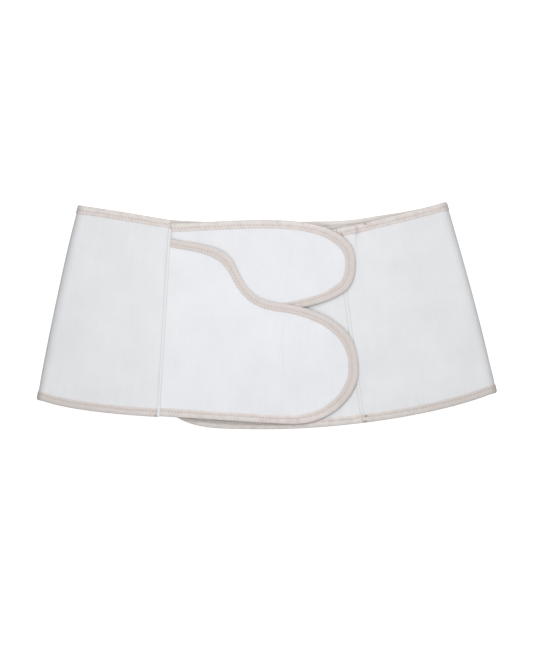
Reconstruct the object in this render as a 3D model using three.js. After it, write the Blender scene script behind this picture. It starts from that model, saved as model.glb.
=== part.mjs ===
// Postpartum belly wrap, fastened into a loop and lying flat on its back.
// Millimetres. +X runs to the wearer's left side, +Y to the waist edge, +Z up from the floor.
import * as THREE from "three";

// Cloth, binding and the free space that is kept between pieces
const WALL = 1.8;
const TAPE = 0.6;
const GAP = 0.3;
const BINDING_WIDTH = 9;
const BINDING_NOSE = 0.8;
const SEAM_TAPE = 0.6;
const SEAM_CLIMB = 3;
const LEFT_SEAM_WIDTH = 3;
const RIGHT_SEAM_WIDTH = 4;
const PATCH = 1.2;
const BOUND = WALL + 2 * (GAP + TAPE);
const EDGE_INSET = GAP + TAPE;

// Heights of the cloth's middle surface, from the floor up
const HOLLOW = 10;
const FOLD_RADIUS = 8;
const FOLD_BOW = 2;
const BACK_Z = BOUND / 2;
const BACK_SAG = (BOUND - WALL) / 2;
const FOLD_TOP_Z = BACK_Z + 2 * FOLD_RADIUS;
const LAYER = BOUND + GAP;
const UNDER_Z = BOUND + HOLLOW + BOUND / 2;
const UPPER_Z = UNDER_Z + LAYER;
const LOWER_Z = UPPER_Z + LAYER;

// Where the lower flap sinks past the upper flap's hidden edge
const DROOP = 2.9;
const DROOP_HEADING = -40;
const DROOP_FROM = 26;
const DROOP_TO = 110;

// Steps along each stretch, and the rows across a sheet as shares of its width
const WING_STEPS = 9;
const FOLD_STEPS = 8;
const BACK_STEPS = 22;
const FLAP_STEPS = 26;
const BAND_ROWS = [0, 0.058, 0.12, 0.37, 0.63, 0.88, 0.942, 1];
const FLAP_ROWS = [0, 0.13, 0.3, 0.57, 0.85, 1];
const SAGGING_SHARE = 0.1;

// Brings the middle of the finished outline over the origin
const PLAN_SHIFT_X = -0.88;

// Stations and rows of a flap that its hook patch lies under
const UPPER_PATCH = { fromStation: 16, toStation: 21, fromRow: 2, toRow: 4 };
const LOWER_PATCH = { fromStation: 14, toStation: 20, fromRow: 1, toRow: 4 };

// Finished edges in plan, bindings included. Each row is one point of an edge with the heading of
// the edge there in degrees, and how far the curve follows that heading back and ahead.
const LEFT_WING = {
  top: [
    { at: "seam", x: -104.2, y: 104.5, heading: 171, ahead: 34 },
    { at: "fold", x: -197.9, y: 119.6, heading: 173, back: 26 },
  ],
  bottom: [
    { at: "seam", x: -117.5, y: -111.3, heading: 177, ahead: 42 },
    { at: "fold", x: -243.5, y: -94.3, heading: 160, back: 27 },
  ],
};
const BACK = {
  top: [
    { at: "left_fold", x: -197.9, y: 119.6, heading: -9, ahead: 45 },
    { at: "middle", x: -85, y: 104, heading: -2.5, back: 40, ahead: 45 },
    { at: "crest", x: 48, y: 103.5, heading: 1.5, back: 45, ahead: 24 },
    { at: "rise", x: 110, y: 107.6, heading: 9.5, back: 26, ahead: 30 },
    { at: "right_fold", x: 190, y: 122.6, heading: 16, back: 30 },
  ],
  bottom: [
    { at: "left_fold", x: -243.5, y: -94.3, heading: -12, ahead: 45 },
    { at: "middle", x: 0, y: -116, heading: -1, back: 110, ahead: 110 },
    { at: "right_fold", x: 245.4, y: -86.8, heading: 18, back: 52 },
  ],
};
const RIGHT_WING = {
  top: [
    { at: "fold", x: 190, y: 122.6, heading: 196, ahead: 30 },
    { at: "seam", x: 76.4, y: 95.1, heading: 191, back: 35 },
  ],
  bottom: [
    { at: "fold", x: 245.4, y: -86.8, heading: 201.5, ahead: 38 },
    { at: "seam", x: 105.6, y: -118, heading: 186.5, back: 48 },
  ],
};
const UNDER_PANEL = {
  top: [
    { at: "root", x: 76, y: 95.1, heading: 192, ahead: 28 },
    { at: "middle", x: -30, y: 91.5, heading: 179, back: 30, ahead: 45 },
    { at: "corner", x: -114, y: 72, heading: 230, back: 21, ahead: 13 },
    { at: "tip", x: -126, y: 2, heading: 270, back: 43 },
  ],
  bottom: [
    { at: "root", x: 105.2, y: -118, heading: 187, ahead: 42 },
    { at: "middle", x: -17.6, y: -124.8, heading: 179, back: 42, ahead: 42 },
    { at: "corner", x: -114, y: -98.4, heading: 132, back: 36, ahead: 12 },
    { at: "tip", x: -126, y: -6, heading: 90, back: 54 },
  ],
};
const UPPER_FLAP = {
  top: [
    { at: "root", x: -110.5, y: 101, heading: 0, ahead: 36 },
    { at: "crest", x: -20, y: 104.4, heading: 1, back: 32, ahead: 16 },
    { at: "shoulder", x: 26.4, y: 103.7, heading: -4, back: 16, ahead: 38 },
    { at: "tip", x: 97.9, y: 60, heading: -90, back: 28.5 },
  ],
  bottom: [
    { at: "root", x: -121.5, y: -78, heading: -3, ahead: 35 },
    { at: "rise", x: -31, y: -48, heading: 64, back: 33, ahead: 22 },
    { at: "waist", x: 26.4, y: 6, heading: 10, back: 33, ahead: 22 },
    { at: "corner", x: 86, y: 26, heading: 35, back: 19, ahead: 9 },
    { at: "tip", x: 97.9, y: 54, heading: 90, back: 12 },
  ],
};
const LOWER_FLAP = {
  top: [
    { at: "root", x: -105.1, y: 84.1, heading: -12, ahead: 38 },
    { at: "drop", x: -33.4, y: 54, heading: -67, back: 26, ahead: 27 },
    { at: "waist", x: 15.4, y: 13.2, heading: -6, back: 28, ahead: 27 },
    { at: "corner", x: 88, y: -18.2, heading: -47, back: 26, ahead: 13 },
    { at: "tip", x: 101.2, y: -57.8, heading: -90, back: 16 },
  ],
  bottom: [
    { at: "root", x: -117.1, y: -110.4, heading: -3.5, ahead: 45 },
    { at: "sag", x: 26.4, y: -119.4, heading: -2.5, back: 42, ahead: 43 },
    { at: "tip", x: 101.2, y: -65.5, heading: 83, back: 25 },
  ],
};

// Colours of the photo
const CLOTH = new THREE.MeshStandardMaterial({ color: 0xe9eaee, roughness: 0.92, metalness: 0 });
const BINDING = new THREE.MeshStandardMaterial({ color: 0xd5cbc6, roughness: 0.88, metalness: 0 });
const WHITE_TAPE = new THREE.MeshStandardMaterial({ color: 0xf0f0f2, roughness: 0.9, metalness: 0 });
const HOOKS = new THREE.MeshStandardMaterial({ color: 0xe4e4e6, roughness: 0.8, metalness: 0 });

function along(row, reach) {
  const angle = THREE.MathUtils.degToRad(row.heading);
  return new THREE.Vector2(row.x + reach * Math.cos(angle), row.y + reach * Math.sin(angle));
}

// The smooth curve through the rows of one edge
function edgeCurve(rows) {
  const curve = new THREE.CurvePath();
  for (let i = 1; i < rows.length; i += 1) {
    const from = rows[i - 1];
    const to = rows[i];
    curve.add(new THREE.CubicBezierCurve(
      along(from, 0), along(from, from.ahead), along(to, -to.back), along(to, 0)));
  }
  return curve;
}

// A plan line moved inwards by a distance; the line runs round a flap, and its ends move along the root
function insetLine(line, distance) {
  const last = line.length - 1;
  const side = THREE.ShapeUtils.isClockWise(line) ? 1 : -1;
  const root = line[last].clone().sub(line[0]).setLength(distance);
  return line.map((point, i) => {
    if (i === 0) {
      return point.clone().add(root);
    }
    if (i === last) {
      return point.clone().sub(root);
    }
    const heading = line[i + 1].clone().sub(line[i - 1]).normalize();
    return new THREE.Vector2(
      point.x + side * heading.y * distance, point.y - side * heading.x * distance);
  });
}

// A solid from corners and faces, turned so that its faces look outwards
function solid(corners, faces) {
  let volume = 0;
  for (const [a, b, c] of faces) {
    volume += corners[a].dot(new THREE.Vector3().crossVectors(corners[b], corners[c]));
  }
  const order = volume < 0 ? faces.map(([a, b, c]) => [a, c, b]) : faces;
  const geometry = new THREE.BufferGeometry().setFromPoints(corners);
  geometry.setIndex(order.flat());
  geometry.computeVertexNormals();
  return geometry;
}

// A closed sheet of even thickness about the middle surface grid[station][row]
function sheet(grid, thickness) {
  const lastStation = grid.length - 1;
  const lastRow = grid[0].length - 1;
  const rows = lastRow + 1;
  const upper = [];
  const lower = [];
  for (let i = 0; i <= lastStation; i += 1) {
    for (let j = 0; j <= lastRow; j += 1) {
      const run = grid[Math.min(i + 1, lastStation)][j].clone().sub(grid[Math.max(i - 1, 0)][j]);
      const cross = grid[i][Math.min(j + 1, lastRow)].clone().sub(grid[i][Math.max(j - 1, 0)]);
      const up = run.cross(cross).setLength(thickness / 2);
      upper.push(grid[i][j].clone().add(up));
      lower.push(grid[i][j].clone().sub(up));
    }
  }
  const faces = [];
  const quad = (a, b, c, d) => faces.push([a, b, c], [a, c, d]);
  const top = (i, j) => i * rows + j;
  const under = (i, j) => upper.length + i * rows + j;
  for (let i = 0; i < lastStation; i += 1) {
    for (let j = 0; j < lastRow; j += 1) {
      quad(top(i, j), top(i + 1, j), top(i + 1, j + 1), top(i, j + 1));
      quad(under(i, j + 1), under(i + 1, j + 1), under(i + 1, j), under(i, j));
    }
    quad(under(i, 0), under(i + 1, 0), top(i + 1, 0), top(i, 0));
    quad(top(i, lastRow), top(i + 1, lastRow), under(i + 1, lastRow), under(i, lastRow));
  }
  for (let j = 0; j < lastRow; j += 1) {
    quad(top(0, j), top(0, j + 1), under(0, j + 1), under(0, j));
    quad(under(lastStation, j), under(lastStation, j + 1), top(lastStation, j + 1), top(lastStation, j));
  }
  return solid([...upper, ...lower], faces);
}

// Section of the folded tape: inwards from the finished edge, and up from the cloth's middle surface
const TAPE_SECTION = [
  { inward: BINDING_WIDTH, up: BOUND / 2 },
  { inward: BINDING_NOSE, up: BOUND / 2 },
  { inward: 0, up: BOUND / 4 },
  { inward: 0, up: -BOUND / 4 },
  { inward: BINDING_NOSE, up: -BOUND / 2 },
  { inward: BINDING_WIDTH, up: -BOUND / 2 },
  { inward: BINDING_WIDTH, up: -WALL / 2 - GAP },
  { inward: TAPE, up: -WALL / 2 - GAP },
  { inward: TAPE, up: WALL / 2 + GAP },
  { inward: BINDING_WIDTH, up: WALL / 2 + GAP },
];

// A tape folded over an edge; each station has its finished edge and the middle surface under its lip
function foldedTape(stations) {
  const last = stations.length - 1;
  const count = TAPE_SECTION.length;
  const corners = stations.flatMap(({ edge, lip }, i) => {
    const inward = lip.clone().sub(edge);
    const run = stations[Math.min(i + 1, last)].edge.clone().sub(stations[Math.max(i - 1, 0)].edge);
    const up = run.cross(inward).normalize();
    return TAPE_SECTION.map((point) => edge.clone()
      .addScaledVector(inward, point.inward / BINDING_WIDTH)
      .addScaledVector(up, point.up));
  });
  const faces = [];
  for (let i = 0; i < last; i += 1) {
    for (let k = 0; k < count; k += 1) {
      const next = (k + 1) % count;
      const a = i * count + k;
      const b = i * count + next;
      faces.push([a, b, b + count], [a, b + count, a + count]);
    }
  }
  const outline = TAPE_SECTION.map((point) => new THREE.Vector2(point.inward, point.up));
  const clockwise = THREE.ShapeUtils.isClockWise(outline);
  for (const [a, b, c] of THREE.ShapeUtils.triangulateShape(outline, [])) {
    const [first, third] = clockwise ? [a, c] : [c, a];
    faces.push([first, b, third]);
    const end = last * count;
    faces.push([end + third, end + b, end + first]);
  }
  return solid(corners, faces);
}

// A flap or panel: a sheet between its two edges, its folded tape, and its middle surface
function flap(edges, heightAt) {
  const top = edgeCurve(edges.top).getSpacedPoints(FLAP_STEPS);
  const bottom = edgeCurve(edges.bottom).getSpacedPoints(FLAP_STEPS);
  const rim = [...top, ...bottom.reverse()];
  const lift = (point) => new THREE.Vector3(point.x, point.y, heightAt(point));
  const cloth = insetLine(rim, EDGE_INSET);
  const lips = insetLine(rim, BINDING_WIDTH);
  const grid = top.map((_, i) => {
    const opposite = cloth[cloth.length - 1 - i];
    return FLAP_ROWS.map((share) => lift(cloth[i].clone().lerp(opposite, share)));
  });
  const stations = rim.map((point, i) => ({ edge: lift(point), lip: lift(lips[i]) }));
  return { grid, wall: sheet(grid, WALL), binding: foldedTape(stations) };
}

// A plain patch under the end of a flap
function hookPatch(grid, { fromStation, toStation, fromRow, toRow }) {
  const drop = new THREE.Vector3(0, 0, -(WALL / 2 + GAP + PATCH / 2));
  const rows = grid.slice(fromStation, toStation + 1).map((station) => station
    .slice(fromRow, toRow + 1)
    .map((point) => point.clone().add(drop)));
  return sheet(rows, PATCH);
}

// A wing of the band: sections from its first edge row to its last, with the height between two ends
function wing(edges, fromZ, toZ) {
  const top = edgeCurve(edges.top);
  const bottom = edgeCurve(edges.bottom);
  return {
    length: top.getLength(),
    section(share) {
      const z = THREE.MathUtils.lerp(fromZ, toZ, THREE.MathUtils.smoothstep(share, 0, 1));
      const upper = top.getPoint(share);
      const lower = bottom.getPoint(share);
      return {
        top: new THREE.Vector3(upper.x, upper.y, z),
        bottom: new THREE.Vector3(lower.x, lower.y, z),
      };
    },
  };
}

// Half a turn of the band about the line between two corners: on the left from the front down to the
// back, and on the right from the back up to the front
function fold(section, startsOnTop) {
  const line = section.bottom.clone().sub(section.top).normalize();
  const outward = new THREE.Vector3(line.y, -line.x, 0).multiplyScalar(startsOnTop ? 1 : -1);
  const turn = startsOnTop ? -1 : 1;
  const sections = [];
  for (let step = 1; step < FOLD_STEPS; step += 1) {
    const angle = turn * (step / FOLD_STEPS - 0.5) * Math.PI;
    const shift = outward.clone().multiplyScalar(FOLD_RADIUS * Math.cos(angle));
    shift.z = FOLD_RADIUS * Math.sin(angle) + BACK_Z + FOLD_RADIUS - section.top.z;
    sections.push({
      top: section.top.clone().add(shift),
      bottom: section.bottom.clone().add(shift),
      bow: outward.clone().multiplyScalar(FOLD_BOW * Math.cos(angle)),
    });
  }
  return sections;
}

const leftWing = wing(LEFT_WING, LOWER_Z, FOLD_TOP_Z);
const rightWing = wing(RIGHT_WING, FOLD_TOP_Z, UNDER_Z);
const back = wing(BACK, BACK_Z, BACK_Z);

function stretch(piece, steps, sag) {
  return Array.from({ length: steps + 1 }, (_, i) => ({ ...piece.section(i / steps), sag }));
}

const bandSections = [
  ...stretch(leftWing, WING_STEPS, 0),
  ...fold(leftWing.section(1), true),
  ...stretch(back, BACK_STEPS, BACK_SAG),
  ...fold(rightWing.section(0), false),
  ...stretch(rightWing, WING_STEPS, 0),
];

// A point of one section of the band, at a share of its way from the waist edge to the hip edge
function acrossBand(section, share) {
  const point = section.top.clone().lerp(section.bottom, share);
  if (section.bow) {
    point.addScaledVector(section.bow, 4 * share * (1 - share));
  }
  if (section.sag && Math.min(share, 1 - share) > SAGGING_SHARE) {
    point.z -= section.sag;
  }
  return point;
}

const bandGrid = bandSections.map((section) => {
  const inset = EDGE_INSET / section.top.distanceTo(section.bottom);
  return BAND_ROWS.map((row) => acrossBand(section, inset + (1 - 2 * inset) * row));
});

function bandEdge(fromTop) {
  return bandSections.map((section) => {
    const width = BINDING_WIDTH / section.top.distanceTo(section.bottom);
    return {
      edge: acrossBand(section, fromTop ? 0 : 1),
      lip: acrossBand(section, fromTop ? width : 1 - width),
    };
  });
}

// A narrow tape on a wing's front edge, from below the waist binding to the hip binding or over it
function seamTape(piece, shares, overHipBinding) {
  const onCloth = WALL / 2 + GAP + SEAM_TAPE / 2;
  const onBinding = BOUND / 2 + GAP + SEAM_TAPE / 2;
  const clear = BINDING_WIDTH + 2 * GAP;
  const hipEnd = overHipBinding
    ? [
      { fromHip: clear + SEAM_CLIMB, lift: onCloth },
      { fromHip: clear, lift: onBinding },
      { fromHip: 0, lift: onBinding },
    ]
    : [{ fromHip: clear, lift: onCloth }];
  const grid = shares.map((share) => {
    const section = piece.section(share);
    const length = section.top.distanceTo(section.bottom);
    const rows = [{ fromHip: length - clear, lift: onCloth }, ...hipEnd];
    return rows.map(({ fromHip, lift }) => {
      const point = acrossBand(section, 1 - fromHip / length);
      point.z += lift;
      return point;
    });
  });
  return sheet(grid, SEAM_TAPE);
}

function lowerFlapHeight(point) {
  const heading = THREE.MathUtils.degToRad(DROOP_HEADING);
  const distance = point.x * Math.cos(heading) + point.y * Math.sin(heading);
  return LOWER_Z - DROOP * THREE.MathUtils.smoothstep(distance, DROOP_FROM, DROOP_TO);
}

const underPanel = flap(UNDER_PANEL, () => UNDER_Z);
const upperFlap = flap(UPPER_FLAP, () => UPPER_Z);
const lowerFlap = flap(LOWER_FLAP, lowerFlapHeight);

const wrap = new THREE.Group();
wrap.name = "belly_wrap";
wrap.position.setX(PLAN_SHIFT_X);

function add(name, geometry, material) {
  const mesh = new THREE.Mesh(geometry, material);
  mesh.name = name;
  wrap.add(mesh);
}

add("band", sheet(bandGrid, WALL), CLOTH);
add("band_top_binding", foldedTape(bandEdge(true)), BINDING);
add("band_bottom_binding", foldedTape(bandEdge(false)), BINDING);
add("under_panel", underPanel.wall, CLOTH);
add("under_panel_binding", underPanel.binding, BINDING);
add("upper_flap", upperFlap.wall, CLOTH);
add("upper_flap_binding", upperFlap.binding, BINDING);
add("lower_flap", lowerFlap.wall, CLOTH);
add("lower_flap_binding", lowerFlap.binding, BINDING);
const leftSeam = [0, LEFT_SEAM_WIDTH / leftWing.length];
const rightSeam = [1 - RIGHT_SEAM_WIDTH / rightWing.length, 1];
add("left_seam_tape", seamTape(leftWing, leftSeam, true), WHITE_TAPE);
add("right_seam_tape", seamTape(rightWing, rightSeam, false), WHITE_TAPE);
add("upper_hook_patch", hookPatch(upperFlap.grid, UPPER_PATCH), HOOKS);
add("lower_hook_patch", hookPatch(lowerFlap.grid, LOWER_PATCH), HOOKS);

export default wrap;
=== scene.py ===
# Postpartum belly wrap, fastened into a loop and laid flat on its back, seen from straight above.
import math
from collections import namedtuple

import bmesh
import bpy
from mathutils import Color, Matrix, Vector, kdtree, noise
from mathutils.geometry import interpolate_bezier


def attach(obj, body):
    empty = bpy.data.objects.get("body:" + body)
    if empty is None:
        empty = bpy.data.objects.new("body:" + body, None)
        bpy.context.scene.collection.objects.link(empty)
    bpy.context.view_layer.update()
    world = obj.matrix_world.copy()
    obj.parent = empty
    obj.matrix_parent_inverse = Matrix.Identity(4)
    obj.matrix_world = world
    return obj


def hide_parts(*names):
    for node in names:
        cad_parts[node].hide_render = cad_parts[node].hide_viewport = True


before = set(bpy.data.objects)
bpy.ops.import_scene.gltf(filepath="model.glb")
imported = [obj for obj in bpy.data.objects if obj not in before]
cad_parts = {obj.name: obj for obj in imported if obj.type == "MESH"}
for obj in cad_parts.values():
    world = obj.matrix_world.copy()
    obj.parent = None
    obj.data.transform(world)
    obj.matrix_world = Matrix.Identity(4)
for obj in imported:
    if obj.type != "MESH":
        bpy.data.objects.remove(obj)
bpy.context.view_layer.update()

# The table top is plain pale board, which the photograph shows as pure white. The wrap lies on it
# under a soft lamp, with a second lamp past its waist edge, and the camera looks straight down.
MM = 0.001
FLOOR_SIDE = 6.0
FLOOR_SQUARES = 6
FLOOR_DROP = 0.3 * MM
PHOTO_HEIGHT = 666
PIXEL = 1.1 * MM
VIEW_CENTRE = Vector((-0.3 * MM, -19.3 * MM))
CAMERA_HEIGHT = 3.6
WRAP_MIDDLE = 15 * MM
BOARD_GREY = (160, 160, 160)
BOARD_ROUGHNESS = 0.95
BOARD_GLOW = 0.92
ROOM_LIGHT = 0.45
OVERHEAD_LIGHT = {"place": (-0.025, 0.0, 0.55), "side": 0.5, "power": 1.55}
WAIST_SIDE_LIGHT = {"place": (0.2, 1.0, 1.25), "side": 1.1, "power": 8.35}


def photo_colour(red, green, blue):
    """A colour as it shows on a screen, 0 to 255, in the linear light that shaders take."""
    return (*Color((red / 255, green / 255, blue / 255)).from_srgb_to_scene_linear(), 1)


def plain_mesh(name, mesh, finish):
    """Turns a bmesh into an object at the origin with one finish."""
    data = bpy.data.meshes.new(name)
    mesh.to_mesh(data)
    mesh.free()
    data.materials.append(finish)
    made = bpy.data.objects.new(name, data)
    bpy.context.collection.objects.link(made)
    return made


def new_finish(name, roughness):
    """A material with only its shader, and that shader."""
    finish = bpy.data.materials.new(name)
    finish.use_nodes = True
    shader = finish.node_tree.nodes["Principled BSDF"]
    shader.inputs["Roughness"].default_value = roughness
    return finish, shader


def soft_light(name, place, side, power):
    """A square lamp that faces the wrap."""
    lamp = bpy.data.lights.new(name, "AREA")
    lamp.size = side
    lamp.energy = power
    light = bpy.data.objects.new(name, lamp)
    light.location = place
    light.rotation_euler = (-Vector(place)).to_track_quat("-Z", "Y").to_euler()
    bpy.context.collection.objects.link(light)


white_board, board_shader = new_finish("white_board", BOARD_ROUGHNESS)
board_shader.inputs["Base Color"].default_value = photo_colour(*BOARD_GREY)
board_shader.inputs["Emission Strength"].default_value = BOARD_GLOW
seen_by = white_board.node_tree.nodes.new("ShaderNodeLightPath")
white_board.node_tree.links.new(seen_by.outputs["Is Camera Ray"], board_shader.inputs["Emission Color"])
board = bmesh.new()
bmesh.ops.create_grid(board, x_segments=FLOOR_SQUARES, y_segments=FLOOR_SQUARES, size=FLOOR_SIDE / 2)
bmesh.ops.translate(board, verts=board.verts, vec=(0, 0, -FLOOR_DROP))
plain_mesh("table_top", board, white_board)

soft_light("overhead_light", **OVERHEAD_LIGHT)
soft_light("waist_side_light", **WAIST_SIDE_LIGHT)
room = bpy.data.worlds.new("white_room")
room.use_nodes = True
room.node_tree.nodes["Background"].inputs["Color"].default_value = (1, 1, 1, 1)
room.node_tree.nodes["Background"].inputs["Strength"].default_value = ROOM_LIGHT
bpy.context.scene.world = room
bpy.context.scene.view_settings.view_transform = "Standard"

lens = bpy.data.cameras.new("photo_camera")
lens.lens = lens.sensor_width * (CAMERA_HEIGHT - WRAP_MIDDLE) / (PHOTO_HEIGHT * PIXEL)
camera = bpy.data.objects.new("photo_camera", lens)
camera.location = (*VIEW_CENTRE, CAMERA_HEIGHT)
bpy.context.collection.objects.link(camera)
bpy.context.scene.camera = camera

# The band is one long panel of white knitted elastic that goes round the back. Here it lies double:
# from the left seam over the left fold, along the floor, up the right fold and to the right seam.
WALL = 1.8 * MM
BOUND_EDGE = 3.6 * MM
CLOTH_INSET = 0.9 * MM
TAPE_WIDTH = 9.0 * MM
BACK_Z = BOUND_EDGE / 2
BACK_SAG = (BOUND_EDGE - WALL) / 2
SAG_REACH = 26 * MM
FOLD_RADIUS = 8 * MM
FOLD_BOW = 2 * MM
FOLD_TOP_Z = BACK_Z + 2 * FOLD_RADIUS
LAYER = 3.9 * MM
UNDER_Z = 15.4 * MM
UPPER_Z = UNDER_Z + LAYER
LOWER_Z = UPPER_Z + LAYER
LINE_STEPS = 240
BAND_COLUMNS = 440
BAND_ROWS = 84
DENT_DEPTH = 0.5 * MM
DENTS_FROM_EDGE = 35 * MM
DENT_SCALE = (17, 11)
DENT_SEED = 2
PUCKER_HEIGHT = 0.2 * MM
PUCKER_PITCH = 12.5 * MM
PUCKER_DRIFT_SCALE = 30
PUCKER_SEED = 5
PUCKER_FROM_TAPE = 5 * MM
PUCKER_REACH = 11 * MM
CREASE_X = 96.4 * MM
CREASE_WIDTH = 9.5 * MM
CREASE_LENGTH = 48 * MM
CREASE_DEPTH = 4.4 * MM
# Finished edges in plan, in millimetres: each row is a point with the edge's heading in degrees, and
# how far the curve keeps to that heading behind the point and ahead of it. The shift, in millimetres
# too, puts the middle of the wrap over the origin.
PLAN_SHIFT_X = -0.88
BAND_EDGES = {
    "left_wing": {
        "waist": [
            {"x": -104.2, "y": 104.5, "heading": 171, "ahead": 34},
            {"x": -197.9, "y": 119.6, "heading": 173, "back": 26},
        ],
        "hip": [
            {"x": -117.5, "y": -111.3, "heading": 177, "ahead": 42},
            {"x": -243.5, "y": -94.3, "heading": 160, "back": 27},
        ],
    },
    "back": {
        "waist": [
            {"x": -197.9, "y": 119.6, "heading": -9, "ahead": 45},
            {"x": -85, "y": 104, "heading": -2.5, "back": 40, "ahead": 45},
            {"x": 48, "y": 103.5, "heading": 1.5, "back": 45, "ahead": 24},
            {"x": 110, "y": 107.6, "heading": 9.5, "back": 26, "ahead": 30},
            {"x": 190, "y": 122.6, "heading": 16, "back": 30},
        ],
        "hip": [
            {"x": -243.5, "y": -94.3, "heading": -12, "ahead": 45},
            {"x": 0, "y": -116, "heading": -1, "back": 110, "ahead": 110},
            {"x": 245.4, "y": -86.8, "heading": 18, "back": 52},
        ],
    },
    "right_wing": {
        "waist": [
            {"x": 190, "y": 122.6, "heading": 196, "ahead": 30},
            {"x": 76.4, "y": 95.1, "heading": 191, "back": 35},
        ],
        "hip": [
            {"x": 245.4, "y": -86.8, "heading": 201.5, "ahead": 38},
            {"x": 105.6, "y": -118, "heading": 186.5, "back": 48},
        ],
    },
}
BAND_SHADE = photo_colour(215, 216, 219)
BAND_LIGHT = photo_colour(230, 231, 233)
ELASTIC_ROUGHNESS = 0.9
KNIT_SHEEN = 0.08
KNIT_PITCH = (1.15 * MM, 0.8 * MM)
KNIT_RELIEF = 0.12 * MM
BUMP_STRENGTH = 0.6
# What the knit is mixed from, with the share that each has in its tone and its height
KNIT_LOOPS = {"bend": 1.5, "wales": 0.3, "courses": 0.2, "tone": 0.3}
KNIT_YARN = {"scale": 420.0, "detail": 2.0, "tone": 0.3, "height": 0.4}
KNIT_STREAKS = {"scale": 260.0, "detail": 2.0, "tone": 0.3, "stretch": (1.0, 0.1, 1.0)}
KNIT_DRIFT = {"scale": 24.0, "detail": 3.0, "tone": 0.9}
KNIT_TONE_OFFSET = 0.25


def ease(low, high, value):
    """Rises smoothly from 0 at low to 1 at high."""
    share = min(max((value - low) / (high - low), 0), 1)
    return share * share * (3 - 2 * share)


def edge_point(row, reach):
    """A row's point moved along its heading, in metres."""
    angle = math.radians(row["heading"])
    x = row["x"] + PLAN_SHIFT_X + reach * math.cos(angle)
    y = row["y"] + reach * math.sin(angle)
    return Vector((x, y, 0)) * MM


def even_places(points, count):
    """Places along a line of points, as fractions of their index, that cut it into equal lengths."""
    runs = [0]
    for first, second in zip(points, points[1:]):
        runs.append(runs[-1] + (second - first).length)
    places = []
    index = 0
    for step in range(count + 1):
        run = runs[-1] * step / count
        while index < len(points) - 2 and runs[index + 1] < run:
            index += 1
        places.append(index + (run - runs[index]) / (runs[index + 1] - runs[index]))
    return places


def between(points, place):
    """The point of a line at a fraction of its index."""
    index = min(int(place), len(points) - 2)
    return points[index].lerp(points[index + 1], place - index)


def even_points(points, count):
    """Points along a line that cut it into equal lengths."""
    return [between(points, place) for place in even_places(points, count)]


def line_length(points):
    """The length of a line of points."""
    return sum((second - first).length for first, second in zip(points, points[1:]))


def edge_line(rows):
    """Even points along the smooth edge through the rows of a table."""
    drawn = []
    for start, end in zip(rows, rows[1:]):
        ahead = edge_point(start, start["ahead"])
        back = edge_point(end, -end["back"])
        drawn += interpolate_bezier(edge_point(start, 0), ahead, back, edge_point(end, 0), LINE_STEPS)
    return even_points(drawn, LINE_STEPS)


def flat_stretch(edges, from_z, to_z, sag, outward):
    """A part of the band that lies flat: its length, and its section at a share of that length."""
    waist = edge_line(edges["waist"])
    hip = edge_line(edges["hip"])

    def section(share):
        z = Vector((0, 0, from_z + (to_z - from_z) * ease(0, 1, share)))
        return {
            "waist": between(waist, share * LINE_STEPS) + z,
            "hip": between(hip, share * LINE_STEPS) + z,
            "bow": Vector(),
            "sag": sag,
            "outward": outward,
        }

    return {"length": (line_length(waist) + line_length(hip)) / 2, "section": section}


def folded_stretch(corners, outward, down):
    """Half a turn of the band about the line between two corners, downwards or upwards."""
    foot = Vector((0, 0, BACK_Z + FOLD_RADIUS - corners["waist"].z))

    def section(share):
        angle = math.pi * (0.5 - share if down else share - 0.5)
        turned = outward * math.cos(angle) + Vector((0, 0, math.sin(angle)))
        return {
            "waist": corners["waist"] + foot + turned * FOLD_RADIUS,
            "hip": corners["hip"] + foot + turned * FOLD_RADIUS,
            "bow": outward * (FOLD_BOW * math.cos(angle)),
            "sag": 0,
            "outward": turned,
        }

    return {"length": math.pi * FOLD_RADIUS, "section": section}


def square_to(corners):
    """The level direction to the right of the way from a waist corner to a hip corner."""
    line = (corners["hip"] - corners["waist"]).normalized()
    return Vector((-line.y, line.x, 0))


UP = Vector((0, 0, 1))
left_wing = flat_stretch(BAND_EDGES["left_wing"], LOWER_Z, FOLD_TOP_Z, 0, UP)
back = flat_stretch(BAND_EDGES["back"], BACK_Z, BACK_Z, BACK_SAG, -UP)
right_wing = flat_stretch(BAND_EDGES["right_wing"], FOLD_TOP_Z, UNDER_Z, 0, UP)
left_corners = left_wing["section"](1)
right_corners = right_wing["section"](0)
BAND_LOOP = [
    left_wing,
    folded_stretch(left_corners, -square_to(left_corners), True),
    back,
    folded_stretch(right_corners, square_to(right_corners), False),
    right_wing,
]
BAND_LENGTH = sum(stretch["length"] for stretch in BAND_LOOP)


def band_section(run):
    """The band's section at a length along its loop from the left seam."""
    for stretch in BAND_LOOP[:-1]:
        if run <= stretch["length"]:
            return stretch["section"](run / stretch["length"])
        run -= stretch["length"]
    return right_wing["section"](min(run / right_wing["length"], 1))


def section_height(section):
    """How high the band is at a section, from its waist edge to its hip edge."""
    return (section["hip"] - section["waist"]).length


def band_point(section, depth):
    """A point of the smooth band, at a depth below its waist edge."""
    height = section_height(section)
    share = depth / height
    sag = section["sag"] * ease(TAPE_WIDTH, SAG_REACH, min(depth, height - depth))
    return (section["waist"].lerp(section["hip"], share)
            + section["bow"] * (4 * share * (1 - share)) - UP * sag)


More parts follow.
